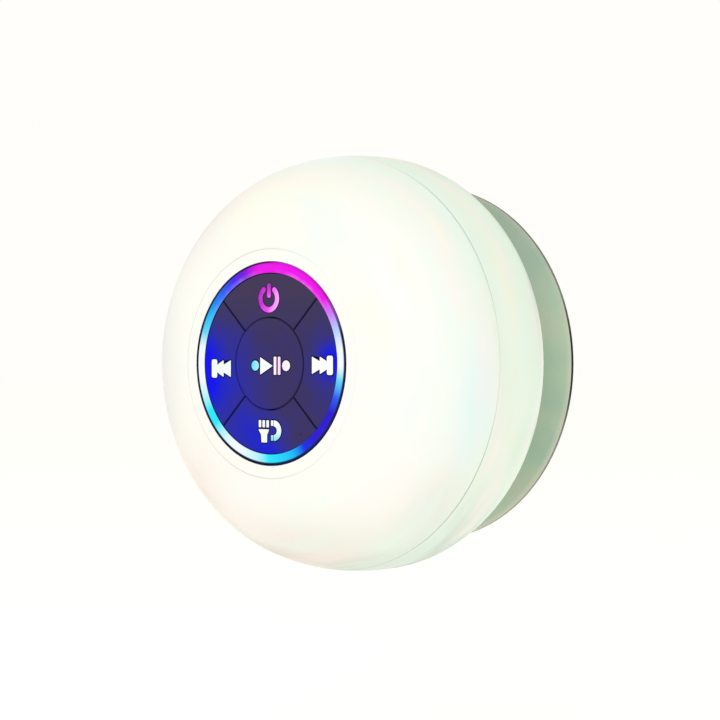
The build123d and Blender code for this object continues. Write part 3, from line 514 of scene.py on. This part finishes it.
def insulation():
    """Coloured insulation, red or black by the side of the object that a wire lies on."""
    s = Surface("wire_insulation", Roughness=0.35, Coat_Weight=0.2)
    side = s.math("GREATER_THAN", s.math("ADD", s.axis("X"), s.axis("Z")), 0.0)
    grain = s.noise(1600.0, 2.0)
    s.bump(grain, 0.00002)
    red = s.mix(grain, linear(150, 18, 16), linear(186, 34, 28))
    black = s.mix(grain, linear(18, 18, 20), linear(36, 36, 38))
    return s.paint(Base_Color=s.mix(side, black, red))


def dress_cad():
    """Gives every CAD node its material."""
    give(milky("lit_milky_plastic"), "front_shell", "rear_shell")
    give(ring_light(), "light_ring")
    give(key_coat(), *("key_" + key for key in KEYS))
    give(moulded("switch_plunger", linear(198, 190, 172), 0.4), *("plunger_" + key for key in KEYS))
    give(cup_silicone(), "suction_cup")
    give(moulded("keypad_rubber", linear(20, 18, 48), 0.6), "keypad_web")
    give(moulded("cover_rubber", linear(222, 232, 220), 0.45, 1200.0, spread=0.04, Subsurface_Weight=0.2,
                 Subsurface_Scale=0.003), "port_plug", "port_strap")
    give(moulded("seal_rubber", linear(34, 34, 37), 0.7), "case_seal", "microphone_boot")
    give(moulded("black_plastic", linear(26, 26, 29), 0.5), "key_frame", "charge_tongue")
    give(moulded("switch_plastic", linear(30, 30, 33), 0.42), "switch_bodies")
    give(moulded("chip_epoxy", linear(24, 24, 26), 0.55, 2000.0), "bluetooth_chip", "amplifier_chip")
    give(circuit_board(), "main_board", "lamp_board", "charge_board")
    give(led_package(), "ring_leds", "lamp_leds")
    give(moulded("foam", linear(48, 48, 51), 0.9, 2400.0, 0.00012), "battery_pad", "driver_gasket")
    give(cell_foil(), "battery")
    give(moulded("brown_laminate", linear(128, 84, 44), 0.55, 700.0), "driver_terminals")
    give(turned_metal("zinc_screw", linear(186, 186, 190)),
         "case_screws", "board_screws", "driver_screws", "lamp_screws", "charge_screws")
    give(turned_metal("plated_steel", linear(172, 172, 176), 0.3), "driver_top_plate", "driver_yoke")
    give(turned_metal("aluminium_can", linear(206, 206, 210), 0.32), "board_capacitors", "microphone")
    give(turned_metal("socket_shell", linear(190, 190, 192), 0.25), "charge_socket")
    give(moulded("ferrite", linear(58, 58, 61), 0.6, 1500.0, 0.00006, 0.3), "driver_magnet")
    give(moulded("basket_paint", linear(34, 34, 36), 0.4, 1500.0, 0.00005, 0.2), "driver_basket")
    give(moulded("surround_rubber", linear(26, 26, 28), 0.5, 900.0), "driver_surround")
    give(woven("spider_cloth", linear(150, 106, 48), linear(206, 164, 92), 900.0), "driver_spider")
    give(woven("mesh_cloth", linear(14, 14, 16), linear(70, 70, 74), 1200.0), "speaker_mesh")
    give(pressed_paper(), "driver_cone", "dust_cap")
    give(wound_copper(), "voice_coil")
    give(insulation(), "speaker_wires", "battery_wires", "charge_wires", "lamp_wires")


# ---- symbols on the keys -----------------------------------------------------------------------------
def plate(name, outlines, ink, border, body):
    """Thin raised symbol on a key's face, with a dark border under it; outlines are in millimetres."""
    mesh = bmesh.new()
    for outline in outlines:
        raise_outline(mesh, outline, -BORDER_W, BORDER_RISE, 1)
        raise_outline(mesh, outline, 0.0, LEGEND_RISE, 0)
    bmesh.ops.recalc_face_normals(mesh, faces=mesh.faces)
    data = bpy.data.meshes.new(name)
    mesh.to_mesh(data)
    mesh.free()
    piece = bpy.data.objects.new(name, data)
    bpy.context.scene.collection.objects.link(piece)
    data.materials.append(ink)
    data.materials.append(border)
    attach(piece, body)


def raise_outline(mesh, outline, inset, rise, slot):
    """Adds a closed plate with softened edges, from just inside the key's face up to a rise."""
    soft = 0.5 * rise
    loops = []
    for depth, more in ((0.01 * MM, 0.0), (soft - rise, 0.0), (-rise, soft)):
        edge = shrunk(outline, inset + more)
        loops.append([mesh.verts.new((x, KEY_FACE + depth, z)) for x, z in edge])
    faces = []
    for near, far in zip(loops, loops[1:]):
        for i in range(len(near)):
            j = (i + 1) % len(near)
            faces.append(mesh.faces.new((near[i], near[j], far[j], far[i])))
    for cap in (loops[0], loops[-1]):
        for corners in tessellate_polygon([[vert.co for vert in cap]]):
            faces.append(mesh.faces.new([cap[k] for k in corners]))
    for face in faces:
        face.material_index = slot


def shrunk(outline, inset):
    """The outline in metres, its points drawn in towards their neighbours' middle by an inset."""
    points = [Vector((x * MM, z * MM)) for x, z in outline]
    if not inset:
        return [tuple(p) for p in points]
    count = len(points)
    area = sum(points[i].x * points[(i + 1) % count].y - points[(i + 1) % count].x * points[i].y
               for i in range(count))
    side = 1 if area > 0 else -1
    moved = []
    for i, p in enumerate(points):
        before = (p - points[i - 1]).normalized()
        after = (points[(i + 1) % count] - p).normalized()
        normal = Vector((-(before + after).y, (before + after).x)).normalized() * side
        moved.append(tuple(p + normal * inset))
    return moved


def arc(x, z, radius, start, end, steps=24):
    """Points on an arc; angles in degrees from +X towards +Z."""
    return [
        (x + radius * cos(radians(start + (end - start) * i / steps)),
         z + radius * sin(radians(start + (end - start) * i / steps)))
        for i in range(steps + 1)
    ]


def rounded(points, radius, steps=5):
    """Polygon with its corners rounded off."""
    result = []
    count = len(points)
    for i in range(count):
        corner = Vector(points[i])
        before = Vector(points[i - 1]) - corner
        after = Vector(points[(i + 1) % count]) - corner
        reach = min(radius, 0.45 * before.length, 0.45 * after.length)
        start = corner + before.normalized() * reach
        end = corner + after.normalized() * reach
        for k in range(steps + 1):
            t = k / steps
            point = (1 - t) ** 2 * start + 2 * t * (1 - t) * corner + t * t * end
            result.append((point.x, point.y))
    return result


def bar(x, z, width, height, corner=0.2):
    """Upright rounded bar centred at a point."""
    w, h = width / 2, height / 2
    return rounded([(x - w, z - h), (x + w, z - h), (x + w, z + h), (x - w, z + h)], corner)


def disc(x, z, radius):
    return arc(x, z, radius, 0, 352.5, 47)


def broken_ring(x, z, outer, inner, start, end):
    """Part of a ring with rounded ends."""
    middle, half = (outer + inner) / 2, (outer - inner) / 2
    x1, z1 = x + middle * cos(radians(end)), z + middle * sin(radians(end))
    x0, z0 = x + middle * cos(radians(start)), z + middle * sin(radians(start))
    tip = arc(x1, z1, half, end, end + 180, 8)[1:-1]
    tail = arc(x0, z0, half, start + 180, start + 360, 8)[1:-1]
    return arc(x, z, outer, start, end, 40) + tip + arc(x, z, inner, end, start, 32) + tail


def skip_symbol(x, z, way):
    """A bar and two triangles that point along way (+1 is right); x and z are the middle."""
    half, notch = 1.7, 0.77
    left, middle, right, end = -2.62, -0.6, 1.2, 2.75
    points = [(left, half), (middle, notch), (middle, half), (right, notch), (right, -notch),
              (middle, -half), (middle, -notch), (left, -half)]
    triangles = rounded([(x + way * u, z + v) for u, v in points], 0.18)
    return [triangles, bar(x + way * (right + end) / 2, z, end - right, 3.7, 0.5)]


def lit_print(name, tones, across):
    """Translucent ink, lit from behind: tones from one point to another on the keys, in millimetres."""
    s = Surface(name, Roughness=0.4, Specular_IOR_Level=0.1, Emission_Strength=1.0)
    x0, z0, x1, z1 = across
    length = hypot(x1 - x0, z1 - z0)
    across_x = s.product(s.axis("X"), (x1 - x0) / length)
    across_z = s.product(s.axis("Z"), (z1 - z0) / length)
    along = s.math("ADD", across_x, across_z)
    start = (x0 * (x1 - x0) + z0 * (z1 - z0)) / length
    share = s.span(along, start * MM, (start + length) * MM)
    ink = s.noise(900.0, 2.0)
    share = s.math("ADD", share, s.span(ink, 0.3, 0.7, -0.08, 0.08))
    s.bump(ink, 0.00001)
    last = len(tones) - 1
    lit = s.ramp(share, [(i / last, glow(*tone, 0.01)) for i, tone in enumerate(tones)])
    base = s.mix(ink, (0.015, 0.015, 0.015, 1), (0.03, 0.03, 0.03, 1))
    return s.paint(Base_Color=base, Emission_Color=lit)


def ink_border(name, rgb):
    """Dark ink round a symbol, a little uneven."""
    s = Surface(name, Roughness=0.5, Specular_IOR_Level=0.05, Emission_Strength=1.0)
    uneven = s.noise(1400.0, 2.0)
    dark = linear(*(0.7 * c for c in rgb))
    return s.paint(Base_Color=(0.004, 0.004, 0.01, 1), Emission_Color=s.mix(uneven, dark, linear(*rgb)))


def add_symbols():
    """The lit marks: power, previous, next, play and pause with two dots, torch and handset."""
    navy = ink_border("ink_border", (2, 2, 58))
    purple = ink_border("ink_border_power", (88, 10, 106))
    pinks = [(184, 34, 196), (238, 66, 242), (255, 176, 250)]
    magenta = lit_print("ink_power", pinks, (-2.4, 12.8, 2.4, 11.3))
    violet = lit_print("ink_power_bar", [(246, 96, 244), (206, 40, 212), (150, 52, 170)], (0, 13, 0, 15.8))
    white = lit_print("ink_white", [(240, 250, 250), (255, 255, 252)], (-16, 0, 16, 0))
    pinkish = lit_print("ink_pause", [(255, 244, 252), (255, 212, 248)], (1.4, 0, 3.2, 0))
    rosy = lit_print("ink_dot_right", [(255, 232, 250), (255, 246, 250)], (3.6, 0, 5.6, 0))
    cyan = lit_print("ink_dot_left", [(104, 222, 240), (160, 240, 246)], (-4.6, 0, -2.7, 0))
    icy = lit_print("ink_handset", [(132, 226, 240), (236, 250, 252), (252, 255, 255)], (0, -15, 0, -11.6))
    power = broken_ring(0, 12.8, 2.76, 1.68, 127, 408)
    plate("symbol_power_ring", [power], magenta, purple, "key_power")
    plate("symbol_power_bar", [bar(0.07, 14.37, 1.02, 2.85, 0.5)], violet, purple, "key_power")
    plate("symbol_previous", skip_symbol(-13.0, -1.02, -1), white, navy, "key_previous")
    plate("symbol_next", skip_symbol(14.0, -0.32, 1), white, navy, "key_next")
    centre = "key_play_pause"
    plate("symbol_play", [rounded([(-2.3, -2.2), (1.05, -0.46), (-2.3, 1.28)], 0.12)], white, navy, centre)
    plate("symbol_pause", [bar(x, -0.43, 0.7, 3.56, 0.15) for x in (1.7, 2.79)], pinkish, navy, centre)
    plate("symbol_dot_left", [disc(-3.65, -0.41, 1.0)], cyan, navy, centre)
    plate("symbol_dot_right", [disc(4.62, -0.42, 1.04)], rosy, navy, centre)
    rays = [bar(x, -11.87, 0.68, 1.4, 0.12) for x in (-2.35, -1.33, -0.28)]
    torch = rounded([(-2.7, -12.95), (-2.62, -13.25), (-2.05, -14.05), (-1.95, -15.55), (-0.43, -15.55),
                     (-0.43, -14.05), (0.0, -13.25), (0.07, -12.95)], 0.15)
    plate("symbol_torch", rays + [torch], white, navy, "key_light_call")
    middle = -13.16
    handset = rounded(arc(1.32, middle, 2.03, -90, 90) + arc(1.32, middle, 0.85, 90, -90, 20), 0.05, 1)
    ends = [bar(0.9, middle + side * 1.46, 0.56, 1.08, 0.12) for side in (1, -1)]
    plate("symbol_handset", [handset] + ends, icy, navy, "key_light_call")


# ---- surroundings ------------------------------------------------------------------------------------
def add_floor():
    """Plain white floor, bright enough of itself to run into the white background."""
    size = 6.0
    mesh = bpy.data.meshes.new("floor")
    corners = [(-size, -size), (size, -size), (size, size), (-size, size)]
    mesh.from_pydata([(x, y, FLOOR_Z) for x, y in corners], [], [(0, 1, 2, 3)])
    floor = bpy.data.objects.new("floor", mesh)
    bpy.context.scene.collection.objects.link(floor)
    s = Surface("floor_paint", Roughness=0.9, Specular_IOR_Level=0.0, Emission_Strength=1.0)
    cloud = s.noise(3.0, 2.0)
    base = s.mix(cloud, (0.29, 0.285, 0.26, 1), (0.31, 0.305, 0.28, 1))
    own = s.mix(cloud, (0.855, 0.848, 0.82, 1), (0.845, 0.838, 0.81, 1))
    mesh.materials.append(s.paint(Base_Color=base, Emission_Color=own))


def add_light(name, place, size, watts, colour=(1, 1, 1)):
    """Square soft box that faces the object."""
    lamp = bpy.data.lights.new(name, "AREA")
    lamp.size = size
    lamp.energy = watts
    lamp.color = colour
    holder = bpy.data.objects.new(name, lamp)
    holder.location = place
    holder.rotation_euler = (Vector((0, -0.03, 0)) - Vector(place)).to_track_quat("-Z", "Y").to_euler()
    bpy.context.scene.collection.objects.link(holder)


def add_world():
    """White to look at, and a softer pale grey as a light."""
    world = bpy.data.worlds.new("studio")
    world.use_nodes = True
    tree = world.node_tree
    light = tree.nodes["Background"]
    light.inputs["Color"].default_value = (1.0, 0.995, 0.98, 1)
    light.inputs["Strength"].default_value = 0.5
    seen = tree.nodes.new("ShaderNodeBackground")
    seen.inputs["Color"].default_value = linear(255, 254, 250)
    mix = tree.nodes.new("ShaderNodeMixShader")
    path = tree.nodes.new("ShaderNodeLightPath")
    tree.links.new(path.outputs["Is Camera Ray"], mix.inputs[0])
    tree.links.new(light.outputs[0], mix.inputs[1])
    tree.links.new(seen.outputs[0], mix.inputs[2])
    tree.links.new(mix.outputs[0], tree.nodes["World Output"].inputs["Surface"])
    bpy.context.scene.world = world


def add_camera():
    """Eye-level camera in front of the speaker and to its right, as far off as the view asks."""
    turn = radians(VIEW_AZIMUTH)
    forward = Vector((-sin(turn), cos(turn), 0))
    right = Vector((cos(turn), sin(turn), 0))
    ring_front = Vector((0, BODY_FRONT, 0))
    camera = bpy.data.cameras.new("camera")
    camera.lens = 90
    camera.sensor_width = 36
    camera.clip_start = 0.01
    holder = bpy.data.objects.new("camera", camera)
    holder.location = ring_front - forward * VIEW_DISTANCE + right * 0.01807 + Vector((0, 0, 0.0007))
    holder.rotation_euler = forward.to_track_quat("-Z", "Y").to_euler()
    bpy.context.scene.collection.objects.link(holder)
    bpy.context.scene.camera = holder


dress_cad()
add_symbols()
add_floor()
add_world()
add_light("key_light", (0.35, -0.9, 0.8), 0.8, 8.0)
add_camera()
bpy.context.scene.view_settings.view_transform = "Standard"
